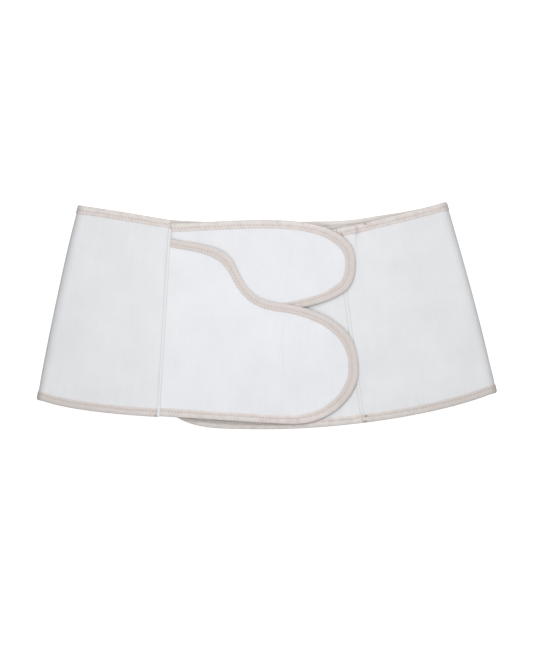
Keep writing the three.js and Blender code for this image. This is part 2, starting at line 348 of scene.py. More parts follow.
def cloth_relief(run, from_edge, knitted):
    """How far soft cloth stands off its smooth surface: puckers at the tape, shallow dents inside."""
    wave = run / PUCKER_PITCH + noise.noise(Vector((run * PUCKER_DRIFT_SCALE, 0, PUCKER_SEED)))
    from_tape = max(from_edge - TAPE_WIDTH, 0)
    fade = math.exp(-from_tape / PUCKER_REACH) * ease(0, PUCKER_FROM_TAPE, from_tape)
    puckers = PUCKER_HEIGHT * math.sin(2 * math.pi * wave) * fade
    spot = Vector((knitted[0] * DENT_SCALE[0], knitted[1] * DENT_SCALE[1], DENT_SEED))
    dents = DENT_DEPTH * noise.noise(spot)
    return puckers + dents * ease(TAPE_WIDTH, DENTS_FROM_EDGE, from_edge)


def crease(point, depth):
    """How far the right wing sinks beside the upright crease at its waist edge, steeply and then less."""
    beside = max(point.x - CREASE_X, 0) / CREASE_WIDTH
    return CREASE_DEPTH * beside * math.exp(1 - beside) * (1 - ease(TAPE_WIDTH, CREASE_LENGTH, depth))


def band_place(along, across):
    """Where a share of the band's length and height lies, and its place in the cloth as knitted."""
    run = along * BAND_LENGTH
    section = band_section(run)
    height = section_height(section)
    depth = CLOTH_INSET + (height - 2 * CLOTH_INSET) * across
    point = band_point(section, depth)
    relief = cloth_relief(run, min(depth, height - depth), (run, depth))
    if section["sag"]:
        relief = -abs(relief)
    elif section["outward"] is UP:
        relief -= crease(point, depth)
    return point + section["outward"] * relief, (run, depth)


def cloth_piece(name, columns, rows, place, thickness, finish):
    """A sheet of even thickness, laid out point by point by place(along, across)."""
    mesh = bmesh.new()
    bmesh.ops.create_grid(mesh, x_segments=columns, y_segments=rows, size=0.5)
    weave = mesh.loops.layers.uv.new("weave")
    knitted = {}
    for corner in mesh.verts:
        corner.co, knitted[corner] = place(corner.co.x + 0.5, corner.co.y + 0.5)
    for face in mesh.faces:
        face.smooth = True
        for loop in face.loops:
            loop[weave].uv = knitted[loop.vert]
    for edge in mesh.edges:
        edge.smooth = not edge.is_boundary
    piece = plain_mesh(name, mesh, finish)
    wall = piece.modifiers.new("wall", "SOLIDIFY")
    wall.thickness = thickness
    wall.offset = 0
    return piece


def feed(tree, target, inputs):
    """Sets a node's inputs, as values or as links."""
    for name, value in inputs.items():
        if isinstance(value, bpy.types.NodeSocket):
            tree.links.new(value, target.inputs[name])
        else:
            target.inputs[name].default_value = value


def node(tree, kind, inputs, **settings):
    """A shader node with its settings and inputs."""
    made = tree.nodes.new(kind)
    for name, value in settings.items():
        setattr(made, name, value)
    feed(tree, made, inputs)
    return made


def mix_of(tree, share, first, second):
    """A colour between two others."""
    return node(tree, "ShaderNodeMix", {0: share, 6: first, 7: second}, data_type="RGBA").outputs[2]


def maths_of(tree, operation, *values):
    """A Math node's result."""
    return node(tree, "ShaderNodeMath", dict(enumerate(values)), operation=operation).outputs[0]


def wave_of(tree, length, pitch, phase=0.0):
    """A sine of a length with that pitch."""
    turns = maths_of(tree, "DIVIDE", length, pitch)
    angle = maths_of(tree, "MULTIPLY_ADD", turns, 2 * math.pi, phase)
    return maths_of(tree, "SINE", angle)


def blend_of(tree, first, first_share, second, second_share):
    """The sum of a share of one value and a share of another."""
    added = maths_of(tree, "MULTIPLY", second, second_share)
    return maths_of(tree, "MULTIPLY_ADD", first, first_share, added)


def noise_of(tree, place, grain):
    """Noise between 0 and 1, of the scale and detail that a grain has."""
    inputs = {"Vector": place, "Scale": grain["scale"], "Detail": grain["detail"]}
    return node(tree, "ShaderNodeTexNoise", inputs).outputs[0]


def new_effect(name, inputs, outputs):
    """An empty shader node group with named sockets, and its inner input node."""
    group = bpy.data.node_groups.new(name, "ShaderNodeTree")
    for socket, kind in inputs.items():
        group.interface.new_socket(socket, in_out="INPUT", socket_type=kind)
    for socket, kind in outputs.items():
        group.interface.new_socket(socket, in_out="OUTPUT", socket_type=kind)
    return group, group.nodes.new("NodeGroupInput")


# Fine knit: upright wales crossed by courses of small loops, with uneven yarn, faint upright streaks
# where the elastic is drawn tighter, and a slow drift in tone
fine_knit, knit_in = new_effect(
    "fine_knit",
    {"Place": "NodeSocketVector", "Wale Pitch": "NodeSocketFloat", "Course Pitch": "NodeSocketFloat"},
    {"Tone": "NodeSocketFloat", "Height": "NodeSocketFloat"},
)
knit_place = knit_in.outputs["Place"]
knit_axes = node(fine_knit, "ShaderNodeSeparateXYZ", {0: knit_place})
wales = wave_of(fine_knit, knit_axes.outputs["X"], knit_in.outputs["Wale Pitch"])
bent = maths_of(fine_knit, "MULTIPLY", wales, KNIT_LOOPS["bend"])
courses = wave_of(fine_knit, knit_axes.outputs["Y"], knit_in.outputs["Course Pitch"], bent)
loops = blend_of(fine_knit, wales, KNIT_LOOPS["wales"], courses, KNIT_LOOPS["courses"])
yarn = noise_of(fine_knit, knit_place, KNIT_YARN)
stretched = node(fine_knit, "ShaderNodeMapping", {"Vector": knit_place, "Scale": KNIT_STREAKS["stretch"]})
streaks = noise_of(fine_knit, stretched.outputs[0], KNIT_STREAKS)
drift = noise_of(fine_knit, knit_place, KNIT_DRIFT)
slow = blend_of(fine_knit, streaks, KNIT_STREAKS["tone"], drift, KNIT_DRIFT["tone"])
fast = blend_of(fine_knit, yarn, KNIT_YARN["tone"], loops, KNIT_LOOPS["tone"])
node(fine_knit, "NodeGroupOutput", {
    "Tone": maths_of(fine_knit, "ADD", fast, maths_of(fine_knit, "SUBTRACT", slow, KNIT_TONE_OFFSET)),
    "Height": maths_of(fine_knit, "MULTIPLY_ADD", yarn, KNIT_YARN["height"], loops),
})


def knitted_finish(name, roughness, pitch, relief, shade, light):
    """A finish of the fine knit, at its own scale and colours."""
    finish, shader = new_finish(name, roughness)
    tree = finish.node_tree
    place = node(tree, "ShaderNodeUVMap", {}, uv_map="weave")
    knit = node(tree, "ShaderNodeGroup", {
        "Place": place.outputs[0],
        "Wale Pitch": pitch[0],
        "Course Pitch": pitch[1],
    }, node_tree=fine_knit)
    bump = node(tree, "ShaderNodeBump", {
        "Height": knit.outputs["Height"],
        "Distance": relief,
        "Strength": BUMP_STRENGTH,
    })
    shader.inputs["Sheen Weight"].default_value = KNIT_SHEEN
    feed(tree, shader, {
        "Base Color": mix_of(tree, knit.outputs["Tone"], shade, light),
        "Normal": bump.outputs[0],
    })
    return finish


band_elastic = knitted_finish(
    "band_elastic", ELASTIC_ROUGHNESS, KNIT_PITCH, KNIT_RELIEF, BAND_SHADE, BAND_LIGHT)


def belongs(piece, slot, *nodes):
    """The piece is part of the wrap and stands for those solids, which are hidden; the slot is not used.
    """
    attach(piece, "root")
    if nodes:
        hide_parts(*nodes)


band = cloth_piece("band_cloth", BAND_COLUMNS, BAND_ROWS, band_place, WALL, band_elastic)
belongs(band, "elastic_cloth", "band")

# Each long edge of the band is bound with beige cotton tape, folded lengthwise over the elastic and
# sewn through all layers with one row of stitches nearer to its inner edge than to the fold.
TAPE = 0.5 * MM
TAPE_NOSE = 1.7 * MM
NOSE_ROWS = 4
FLAT_ROWS = 11
HALF_ROWS = NOSE_ROWS + FLAT_ROWS
TAPE_RISE = (WALL + TAPE) / 2
TAPE_SWELL = 0.3 * MM
LIP_DIP = 0.22 * MM
LIP_ROUND = 1.6 * MM
LIP_SCALLOP = 0.4 * MM
STITCH_PITCH = 3.6 * MM
STITCH_STEPS = 4
STATION_STEP = STITCH_PITCH / STITCH_STEPS
STITCH_LINE = 5.4 * MM
STITCH_LENGTH = 2.5 * MM
GROOVE_DEPTH = 0.32 * MM
GROOVE_WIDTH = 0.9 * MM
GROOVE_EVEN = 0.6
GROOVE_AT_NEEDLE = 0.4
THREAD = 0.6 * MM
THREAD_SIDES = 6
THREAD_RINGS = 4
FACE_ORDER = Vector((1.0, 2.7, 7.3))
THREAD_ROUGHNESS = 0.75
STRAND_SCALE = 900.0
THREAD_SHADE = photo_colour(205, 193, 187)
THREAD_LIGHT = photo_colour(219, 210, 205)
TAPE_GREY = photo_colour(220, 214, 210)
TAPE_PINK = photo_colour(219, 211, 208)
TAPE_DULL = photo_colour(205, 197, 193)
# The hip binding's colours are a shade darker than the others: painted shade, for its rounded edge that
# faces away from the light
SHADED_HIP_GREY = photo_colour(216, 210, 207)
SHADED_HIP_PINK = photo_colour(216, 208, 205)
SHADED_HIP_DULL = photo_colour(203, 195, 192)
NEEDLE_SHADE = photo_colour(178, 161, 154)
# Between the waist and hip edges the tape is painted darker: partly painted shade where it faces away
# from the light, partly a greyer tone where it is drawn tight over the belly
TAUT_AND_SHADED_TONE = photo_colour(205, 197, 193)
TAUT_AND_SHADED_SHARE = 0.75
TAUT_AND_SHADED_ABOVE = (-112 * MM, -95 * MM)
TAUT_AND_SHADED_BELOW = (80 * MM, 98 * MM)
# Painted light on the back: the tape there, which the flaps above shade, is painted paler, up to a share
# of this colour below a height
PAINTED_BACK_LIGHT = photo_colour(231, 226, 222)
PAINTED_BACK_LIGHT_SHARE = 0.75
PAINTED_BACK_LIGHT_BELOW = (4 * MM, 9 * MM)
TAPE_ROUGHNESS = 0.88
TAPE_SHEEN = 0.05
TAPE_RELIEF = 0.15 * MM
TAPE_RIBS = {"pitch": 0.95 * MM, "height": 0.25}
TAPE_WEFT = {"pitch": 0.7 * MM, "height": 0.12}
TAPE_SLUBS = {"scale": 330.0, "detail": 3.0, "share": 0.6}
TAPE_STAINS = {"scale": 150.0, "detail": 2.0}
GRAIN_TONE = 0.35
DULL_RANGE = (0.62, 1.1)
DULL_MOST = 0.9
PINK_RANGE = (-3.2 * MM, -0.4 * MM)
NEEDLE_REACH = (0.4 * MM, 1.4 * MM)
NEEDLE_SPAN = (0.1, 0.95)

# A place along a bound edge; spread is how much wider than usual the tape lies there
Station = namedtuple("Station", "edge inward up spread")


def tape_height(inward, phase):
    """How high the tape's middle stands over the cloth's middle, at a length in from the nose."""
    if inward < TAPE_NOSE:
        return TAPE_RISE * math.sqrt(1 - (1 - inward / TAPE_NOSE) ** 2)
    if inward < STITCH_LINE:
        bulge = (inward - TAPE_NOSE) / (STITCH_LINE - TAPE_NOSE)
    else:
        bulge = (inward - STITCH_LINE) / (TAPE_WIDTH - STITCH_LINE)
    pull = GROOVE_EVEN + GROOVE_AT_NEEDLE * math.cos(phase)
    groove = math.exp(-((inward - STITCH_LINE) / GROOVE_WIDTH) ** 2) * pull
    lip = ease(TAPE_WIDTH - LIP_ROUND, TAPE_WIDTH, inward)
    return TAPE_RISE + TAPE_SWELL * math.sin(math.pi * bulge) - GROOVE_DEPTH * groove - LIP_DIP * lip


def tape_inward(row):
    """How far in from the nose a row of the tape's half section lies."""
    if row <= NOSE_ROWS:
        return TAPE_NOSE * (1 - math.cos(math.pi / 2 * row / NOSE_ROWS))
    return TAPE_NOSE + (TAPE_WIDTH - TAPE_NOSE) * (row - NOSE_ROWS) / FLAT_ROWS


def tape_point(station, row, phase):
    """A point of the folded tape: rows count from the nose, up on the outer side, down on the other."""
    inward = tape_inward(abs(row))
    height = math.copysign(tape_height(inward, phase), row) if row else 0
    pulled = LIP_SCALLOP * math.cos(phase) * ease(STITCH_LINE, TAPE_WIDTH, inward)
    return station.edge + station.inward * ((inward - pulled) * station.spread) + station.up * height


def folded_tape(name, stations, finish):
    """A tape folded over an edge that is given as close stations, a quarter of a stitch apart."""
    last = len(stations) - 1

    def place(along, across):
        index = round(along * last)
        row = round((2 * across - 1) * HALF_ROWS)
        phase = 2 * math.pi * index / STITCH_STEPS
        width = math.copysign(tape_inward(abs(row)), row)
        return tape_point(stations[index], row, phase), (index * STATION_STEP, width)

    return cloth_piece(name, last, 2 * HALF_ROWS, place, TAPE, finish)


def thread_pieces(name, places, length, finish):
    """Short lengths of thread; each place is the thread's middle, its heading and the way up."""
    bead = bmesh.new()
    shape = Matrix.Diagonal((THREAD / 2, THREAD / 2, length / 2, 1))
    bmesh.ops.create_uvsphere(
        bead, u_segments=THREAD_SIDES, v_segments=THREAD_RINGS, radius=1, matrix=shape)
    # The sphere's faces come in another order in each run, so they are put in one order here
    bead.faces.sort(key=lambda face: face.calc_center_median().dot(FACE_ORDER))
    for face in bead.faces:
        face.smooth = True
    one = bpy.data.meshes.new(name + "_bead")
    bead.to_mesh(one)
    bead.free()
    row = bmesh.new()
    for _ in places:
        row.from_mesh(one, face_normals=False, vertex_normals=False)
    for index, corner in enumerate(row.verts):
        middle, heading, up = places[index // len(one.vertices)]
        side = up.cross(heading).normalized()
        corner.co = middle + Matrix((side, heading.cross(side), heading)).transposed() @ corner.co
    row.normal_update()
    bpy.data.meshes.remove(one)
    return plain_mesh(name, row, finish)


def tape_stitches(name, stations, finish):
    """The stitches along a folded tape, on both of its sides."""
    places = []
    surface = tape_height(STITCH_LINE, math.pi) + TAPE / 2
    for index in range(STITCH_STEPS // 2, len(stations) - 1, STITCH_STEPS):
        station = stations[index]
        heading = (stations[index + 1].edge - stations[index - 1].edge).normalized()
        row = station.edge + station.inward * (STITCH_LINE * station.spread)
        places.append((row + station.up * surface, heading, station.up))
        places.append((row - station.up * surface, heading, station.up))
    return thread_pieces(name, places, STITCH_LENGTH, finish)


def band_stations(from_waist):
    """Stations along the band's waist edge or hip edge."""
    def across(section, depth):
        return band_point(section, depth if from_waist else section_height(section) - depth)

    drawn = [band_section(BAND_LENGTH * step / BAND_COLUMNS) for step in range(BAND_COLUMNS + 1)]
    edge = [across(section, 0) for section in drawn]
    count = round(line_length(edge) / STATION_STEP)
    stations = []
    for place in even_places(edge, count):
        section = band_section(BAND_LENGTH * place / BAND_COLUMNS)
        rim = across(section, 0)
        inward = (across(section, TAPE_WIDTH) - rim).normalized()
        if from_waist and section["outward"] is UP:
            rim = rim - UP * crease(rim, 0)
        stations.append(Station(rim, inward, section["outward"], 1))
    return stations


def mask_of(tree, value, from_min, from_max, to_min, to_max):
    """A smooth step of a value between two others."""
    return node(tree, "ShaderNodeMapRange", {
        "Value": value,
        "From Min": from_min,
        "From Max": from_max,
        "To Min": to_min,
        "To Max": to_max,
    }, interpolation_type="SMOOTHSTEP").outputs[0]


# Woven tape: fine ribs along it crossed by weft, dull patches, and a needle mark between two stitches.
# It is greyer at its fold, and pinker from just before the row of stitches to its inner edge.
tape_weave, weave_in = new_effect(
    "tape_weave",
    {"Place": "NodeSocketVector", "Stitch Pitch": "NodeSocketFloat", "Stitch Line": "NodeSocketFloat"},
    {"Pink Side": "NodeSocketFloat", "Dull Patches": "NodeSocketFloat", "Needle Marks": "NodeSocketFloat",
     "Height": "NodeSocketFloat"},
)
weave_place = weave_in.outputs["Place"]
weave_axes = node(tape_weave, "ShaderNodeSeparateXYZ", {0: weave_place})
ribs = wave_of(tape_weave, weave_axes.outputs["Y"], TAPE_RIBS["pitch"])
weft = wave_of(tape_weave, weave_axes.outputs["X"], TAPE_WEFT["pitch"])
grain = blend_of(tape_weave, ribs, TAPE_RIBS["height"], weft, TAPE_WEFT["height"])
slubs = noise_of(tape_weave, weave_place, TAPE_SLUBS)
stains = noise_of(tape_weave, weave_place, TAPE_STAINS)
from_fold = maths_of(tape_weave, "ABSOLUTE", weave_axes.outputs["Y"])
past_line = maths_of(tape_weave, "SUBTRACT", from_fold, weave_in.outputs["Stitch Line"])
off_line = maths_of(tape_weave, "ABSOLUTE", past_line)
needle = wave_of(tape_weave, weave_axes.outputs["X"], weave_in.outputs["Stitch Pitch"], math.pi / 2)
on_line = mask_of(tape_weave, off_line, *NEEDLE_REACH, 1.0, 0.0)
at_needle = mask_of(tape_weave, needle, *NEEDLE_SPAN, 0.0, 1.0)
pierced = maths_of(tape_weave, "MULTIPLY", on_line, at_needle)
patchy = maths_of(tape_weave, "MULTIPLY_ADD", slubs, TAPE_SLUBS["share"], stains)
dulled = mask_of(tape_weave, patchy, *DULL_RANGE, 0.0, DULL_MOST)
node(tape_weave, "NodeGroupOutput", {
    "Pink Side": mask_of(tape_weave, past_line, *PINK_RANGE, 0.0, 1.0),
    "Dull Patches": maths_of(tape_weave, "MULTIPLY_ADD", grain, GRAIN_TONE, dulled),
    "Needle Marks": maths_of(tape_weave, "MULTIPLY", pierced, stains),
    "Height": maths_of(tape_weave, "ADD", grain, slubs),
})


def woven_finish(name, grey, pink, dull):
    """Woven tape in its own colours, darker between the waist and hip edges by painted shade and a greyer
    tone where drawn tight, paler on the back by painted light.
    """
    finish, shader = new_finish(name, TAPE_ROUGHNESS)
    shader.inputs["Sheen Weight"].default_value = TAPE_SHEEN
    tree = finish.node_tree
    place = node(tree, "ShaderNodeUVMap", {}, uv_map="weave")
    cloth = node(tree, "ShaderNodeGroup", {
        "Place": place.outputs[0],
        "Stitch Pitch": STITCH_PITCH,
        "Stitch Line": STITCH_LINE,
    }, node_tree=tape_weave)
    bump = node(tree, "ShaderNodeBump", {
        "Height": cloth.outputs["Height"],
        "Distance": TAPE_RELIEF,
        "Strength": BUMP_STRENGTH,
    })
    clean = mix_of(tree, cloth.outputs["Pink Side"], grey, pink)
    worn = mix_of(tree, cloth.outputs["Dull Patches"], clean, dull)
    spot = node(tree, "ShaderNodeTexCoord", {})
    spot_axes = node(tree, "ShaderNodeSeparateXYZ", {0: spot.outputs["Object"]})
    waistward = spot_axes.outputs["Y"]
    # Painted shade, with a greyer tone where the tape is drawn tight: darker between the waist and hip
    # edges
    above = mask_of(tree, waistward, *TAUT_AND_SHADED_ABOVE, 0.0, TAUT_AND_SHADED_SHARE)
    below = mask_of(tree, waistward, *TAUT_AND_SHADED_BELOW, 1.0, 0.0)
    pulled = mix_of(tree, maths_of(tree, "MULTIPLY", above, below), worn, TAUT_AND_SHADED_TONE)
    # Painted light: the tape low on the back is made paler to make up for the flaps' shade over it
    painted_back_light_mask = mask_of(tree, spot_axes.outputs["Z"], *PAINTED_BACK_LIGHT_BELOW, PAINTED_BACK_LIGHT_SHARE, 0.0)
    pierced = mix_of(tree, cloth.outputs["Needle Marks"], pulled, NEEDLE_SHADE)
    feed(tree, shader, {
        "Base Color": mix_of(tree, painted_back_light_mask, pierced, PAINTED_BACK_LIGHT),
        "Normal": bump.outputs[0],
    })
    return finish


beige_tape = woven_finish("beige_tape", TAPE_GREY, TAPE_PINK, TAPE_DULL)
# Painted shade: the hip binding is made a shade darker
shaded_hip_tape = woven_finish("shaded_hip_tape", SHADED_HIP_GREY, SHADED_HIP_PINK, SHADED_HIP_DULL)


def twisted_thread(name, shade, light):
    """Thread of two twisted strands."""
    finish, shader = new_finish(name, THREAD_ROUGHNESS)
    tree = finish.node_tree
    place = node(tree, "ShaderNodeTexCoord", {})
    strands = node(tree, "ShaderNodeTexWave", {
        "Vector": place.outputs["Object"],
        "Scale": STRAND_SCALE,
    }, bands_direction="DIAGONAL")
    feed(tree, shader, {"Base Color": mix_of(tree, strands.outputs["Fac"], shade, light)})
    return finish


beige_thread = twisted_thread("beige_thread", THREAD_SHADE, THREAD_LIGHT)


def bind(name, node_name, stations, finish):
    """Binds an edge: the folded tape and its stitches, attached to the wrap in place of its imported
    binding.
    """
    tape = folded_tape(name, stations, finish)
    stitches = tape_stitches(name + "_stitches", stations, beige_thread)
    belongs(tape, "binding_tape", node_name)
    belongs(stitches, "binding_tape")


waist_stations = band_stations(True)
hip_stations = band_stations(False)
bind("band_waist_binding", "band_top_binding", waist_stations, beige_tape)
bind("band_hip_binding", "band_bottom_binding", hip_stations, shaded_hip_tape)

# The under panel is the band's right front end: one layer of the same elastic, sewn to the right wing
# and bound all round its free edge. It lies lowest in the stack of the front.
FLAP_COLUMNS = 140
FLAP_ROWS = 96
ROOT_LEAN = 14 * MM
SEWN_DEPTH = 0.3 * MM
SEWN_WIDTH = 1.6 * MM
# The tape lies wider where the rim bulges: how many rim points count on each side, by what share it
# widens at most, and the turn in radians that widens it so far
BEND_REACH = 20
BEND_SPREAD = 0.24
FULL_BEND = 0.8
UNDER_PANEL_EDGES = {
    "waist": [
        {"x": 76.6, "y": 95.1, "heading": 192, "ahead": 28},
        {"x": -30, "y": 91.5, "heading": 179, "back": 30, "ahead": 45},
        {"x": -114, "y": 72, "heading": 230, "back": 21, "ahead": 13},
        {"x": -126, "y": 2, "heading": 270, "back": 43},
    ],
    "hip": [
        {"x": 105.8, "y": -118, "heading": 187, "ahead": 42},
        {"x": -17.6, "y": -124.8, "heading": 179, "back": 42, "ahead": 42},
        {"x": -114, "y": -98.4, "heading": 132, "back": 36, "ahead": 12},
        {"x": -126, "y": -6, "heading": 90, "back": 54},
    ],
}


def inward_of(rim, index):
    """The level direction from a flap's rim to its inside; at the root it follows the root's own line."""
    ahead = rim[min(index + 1, len(rim) - 1)] - rim[max(index - 1, 0)]
    square = Vector((ahead.y, -ahead.x, 0)).normalized()
    if rim[1].x < rim[0].x:
        square = -square
    root = (rim[-1] - rim[0]).normalized()
    from_start = (rim[index] - rim[0]).length
    from_end = (rim[index] - rim[-1]).length
    if from_start < ROOT_LEAN:
        return root.lerp(square, ease(0, ROOT_LEAN, from_start)).normalized()
    if from_end < ROOT_LEAN:
        return (-root).lerp(square, ease(0, ROOT_LEAN, from_end)).normalized()
    return square


def bend_at(rim, index):
    """How far the rim turns within a short reach of a point, in radians, above zero where it bulges."""
    near = rim[max(index - BEND_REACH, 0):index + BEND_REACH + 1]
    steps = [(second - first).to_2d() for first, second in zip(near, near[1:])]
    turn = sum(before.angle_signed(after) for before, after in zip(steps, steps[1:]))
    return turn if rim[1].x > rim[0].x else -turn


def flap_layout(edges, height_at, sewn_at=None):
    """A flap's bound edge as stations, and the layout of its cloth, with a line that is sewn down."""
    waist = edge_line(edges["waist"])
    hip = edge_line(edges["hip"])
    drawn = waist + hip[::-1]
    count = round(line_length(drawn) / STATION_STEP)
    rim = even_points(drawn, count)
    nearest = kdtree.KDTree(len(rim))
    stations = []
    for index, edge in enumerate(rim):
        lip = edge + inward_of(rim, index) * TAPE_WIDTH
        lifted = edge + UP * height_at(edge)
        spread = 1 + BEND_SPREAD * ease(0, FULL_BEND, bend_at(rim, index))
        stations.append(Station(lifted, (lip + UP * height_at(lip) - lifted).normalized(), UP, spread))
        nearest.insert(edge, index)
    nearest.balance()
    cut = [point + inward_of(drawn, index) * CLOTH_INSET for index, point in enumerate(drawn)]
    cut_waist = cut[:LINE_STEPS + 1]
    cut_hip = cut[LINE_STEPS + 1:][::-1]

    def place(along, across):
        upper = between(cut_waist, along * LINE_STEPS)
        lower = between(cut_hip, along * LINE_STEPS)
        point = lower.lerp(upper, across)
        _, index, from_edge = nearest.find(point)
        relief = cloth_relief(index * STATION_STEP, from_edge, (point.x, point.y))
        if sewn_at:
            off_line = (along - sewn_at) * line_length(waist)
            relief -= SEWN_DEPTH * math.exp(-(off_line / SEWN_WIDTH) ** 2)
        return point + UP * (height_at(point) + relief), (point.x, point.y)

    return stations, place


def sew_flap(name, stations, place, finish):
    """One flap of elastic with its bound edge."""
    cloth = cloth_piece(name + "_cloth", FLAP_COLUMNS, FLAP_ROWS, place, WALL, finish)
    belongs(cloth, "elastic_cloth", name)
    bind(name + "_edge", name + "_binding", stations, beige_tape)
    return cloth


under_stations, under_place = flap_layout(UNDER_PANEL_EDGES, lambda point: UNDER_Z)
under_panel = sew_flap("under_panel", under_stations, under_place, band_elastic)

# The upper flap comes from the left seam and crosses the belly at the waist. It is one layer of
# elastic with a bound, rounded end, and lies on the under panel.
UPPER_FLAP_EDGES = {
    "waist": [
        {"x": -110.5, "y": 101, "heading": 0, "ahead": 36},
        {"x": -20, "y": 104.4, "heading": 1, "back": 32, "ahead": 16},
        {"x": 26.4, "y": 103.7, "heading": -4, "back": 16, "ahead": 38},
        {"x": 97.9, "y": 60, "heading": -90, "back": 28.5},
    ],
    "hip": [
        {"x": -121.5, "y": -78, "heading": -3, "ahead": 35},
        {"x": -31, "y": -48, "heading": 64, "back": 33, "ahead": 22},
        {"x": 26.4, "y": 6, "heading": 10, "back": 33, "ahead": 22},
        {"x": 86, "y": 26, "heading": 35, "back": 19, "ahead": 9},
        {"x": 97.9, "y": 54, "heading": 90, "back": 12},
    ],
}
# Shares of the flap's length and height that the hook tape under it covers, and where its edge is sewn
UPPER_HOOKS = {"along": (16 / 26, 21 / 26), "across": (0.15, 0.7), "sewn_at": 0.625}
FLAP_SHADE = photo_colour(218, 219, 223)
FLAP_LIGHT = photo_colour(232, 233, 237)
flap_elastic = knitted_finish(
    "flap_elastic", ELASTIC_ROUGHNESS, KNIT_PITCH, KNIT_RELIEF, FLAP_SHADE, FLAP_LIGHT)
upper_stations, upper_place = flap_layout(
    UPPER_FLAP_EDGES, lambda point: UPPER_Z, UPPER_HOOKS["sewn_at"])
upper_flap = sew_flap("upper_flap", upper_stations, upper_place, flap_elastic)

# The lower flap comes from the same seam, lies over the upper flap and crosses the belly at the hips.
# Past the upper flap's hidden edge it sinks by one layer towards its rounded end.
DROOP = 2.9 * MM
DROOP_HEADING = math.radians(-40)
DROOP_FROM = 26 * MM
DROOP_TO = 110 * MM
TIP_DROOP = 1.2 * MM
TIP_FROM = 66 * MM
TIP_TO = 112 * MM
LOWER_FLAP_EDGES = {
    "waist": [
        {"x": -105.1, "y": 84.1, "heading": -12, "ahead": 38},
        {"x": -33.4, "y": 54, "heading": -67, "back": 26, "ahead": 27},
        {"x": 15.4, "y": 13.2, "heading": -6, "back": 28, "ahead": 27},
        {"x": 88, "y": -18.2, "heading": -47, "back": 26, "ahead": 13},
        {"x": 101.2, "y": -57.8, "heading": -90, "back": 16},
    ],
    "hip": [
        {"x": -117.1, "y": -110.4, "heading": -3.5, "ahead": 45},
        {"x": 26.4, "y": -119.4, "heading": -2.5, "back": 42, "ahead": 43},
        {"x": 101.2, "y": -65.5, "heading": 83, "back": 25},
    ],
}
LOWER_HOOKS = {"along": (14 / 26, 20 / 26), "across": (0.15, 0.87), "sewn_at": 0.56}


def lower_flap_height(point):
    """The height of the lower flap's middle, which falls along one heading and more at the tip."""
    reach = point.x * math.cos(DROOP_HEADING) + point.y * math.sin(DROOP_HEADING)
    tip_fall = TIP_DROOP * ease(TIP_FROM, TIP_TO, reach)
    return LOWER_Z - DROOP * ease(DROOP_FROM, DROOP_TO, reach) - tip_fall


lower_stations, lower_place = flap_layout(LOWER_FLAP_EDGES, lower_flap_height, LOWER_HOOKS["sewn_at"])
lower_flap = sew_flap("lower_flap", lower_stations, lower_place, flap_elastic)

# Hook tape is sewn under the end of each front flap, where it grips the elastic below. From above only
# the row of stitches shows that holds its edge towards the seam.
HOOK_TAPE = 1.0 * MM
HOOK_GAP = 0.1 * MM
HOOK_ROUGHNESS = 0.6
HOOK_PITCH = (1.7 * MM, 1.7 * MM)
HOOK_RELIEF = 0.5 * MM
HOOK_COLUMNS = 40
HOOK_SHADE = photo_colour(214, 214, 217)
HOOK_LIGHT = photo_colour(236, 236, 238)
HOOK_STITCH_PITCH = 3.0 * MM
HOOK_STITCH_LENGTH = 2.2 * MM
WHITE_THREAD_SHADE = photo_colour(208, 208, 211)
WHITE_THREAD_LIGHT = photo_colour(226, 226, 228)
hook_tape = knitted_finish(
    "hook_tape", HOOK_ROUGHNESS, HOOK_PITCH, HOOK_RELIEF, HOOK_SHADE, HOOK_LIGHT)
white_thread = twisted_thread("white_thread", WHITE_THREAD_SHADE, WHITE_THREAD_LIGHT)


def stitch_row(line, pitch, lift):
    """Places for a row of stitches along a line on the front, lifted off it."""
    row = even_points(line, round(line_length(line) / pitch))
    places = []
    for start, end in zip(row, row[1:]):
        places.append(((start + end) / 2 + UP * lift, (end - start).normalized(), UP))
    return places


def sew_hooks(name, node_name, flap_place, patch):
    """A patch of hook tape under a flap, with the stitches of its edge on the flap's face."""
    first, last = patch["along"]
    low, high = patch["across"]
    drop = UP * (WALL / 2 + HOOK_GAP + HOOK_TAPE / 2)

    def place(along, across):
        point, knitted = flap_place(first + (last - first) * along, low + (high - low) * across)
        return point - drop, knitted

    hooks = cloth_piece(name, HOOK_COLUMNS, HOOK_COLUMNS, place, HOOK_TAPE, hook_tape)
    belongs(hooks, "hook_tape", node_name)
    corners = [place(*corner)[0] for corner in ((0, 0), (0, 1), (1, 0), (1, 1))]
    line = []
    for step in range(LINE_STEPS + 1):
        line.append(flap_place(patch["sewn_at"], low + (high - low) * step / LINE_STEPS)[0])
    places = stitch_row(line, HOOK_STITCH_PITCH, WALL / 2)
    belongs(thread_pieces(name + "_stitches", places, HOOK_STITCH_LENGTH, white_thread), "elastic_cloth")


sew_hooks("upper_flap_hooks", "upper_hook_patch", upper_place, UPPER_HOOKS)
sew_hooks("lower_flap_hooks", "lower_hook_patch", lower_place, LOWER_HOOKS)

# Narrow white tape covers the two seams. On the left it lies where the flaps join the band, from the
# waist binding down and over the hip binding. On the right it joins the band to the under panel.
SEAM_TAPE = 0.3 * MM
SEAM_COLUMNS = 6
SEAM_ROWS = 220
SEAM_CLEAR = TAPE_WIDTH + 0.4 * MM
SEAM_CLIMB = 3 * MM
SEAM_STITCH_SIDES = (0.06, 0.94)
LEFT_SEAM_SIDES = (0.9 * MM, -2.4 * MM)
RIGHT_SEAM_SIDES = (3.3 * MM, -0.8 * MM)
SEAM_STITCH_PITCH = 2.6 * MM
SEAM_STITCH_LENGTH = 2.0 * MM
SEAM_ROUGHNESS = 0.85
SEAM_PITCH = (0.6 * MM, 0.6 * MM)
SEAM_RELIEF = 0.1 * MM
SEAM_SHADE = photo_colour(217, 218, 220)
SEAM_LIGHT = photo_colour(229, 230, 232)
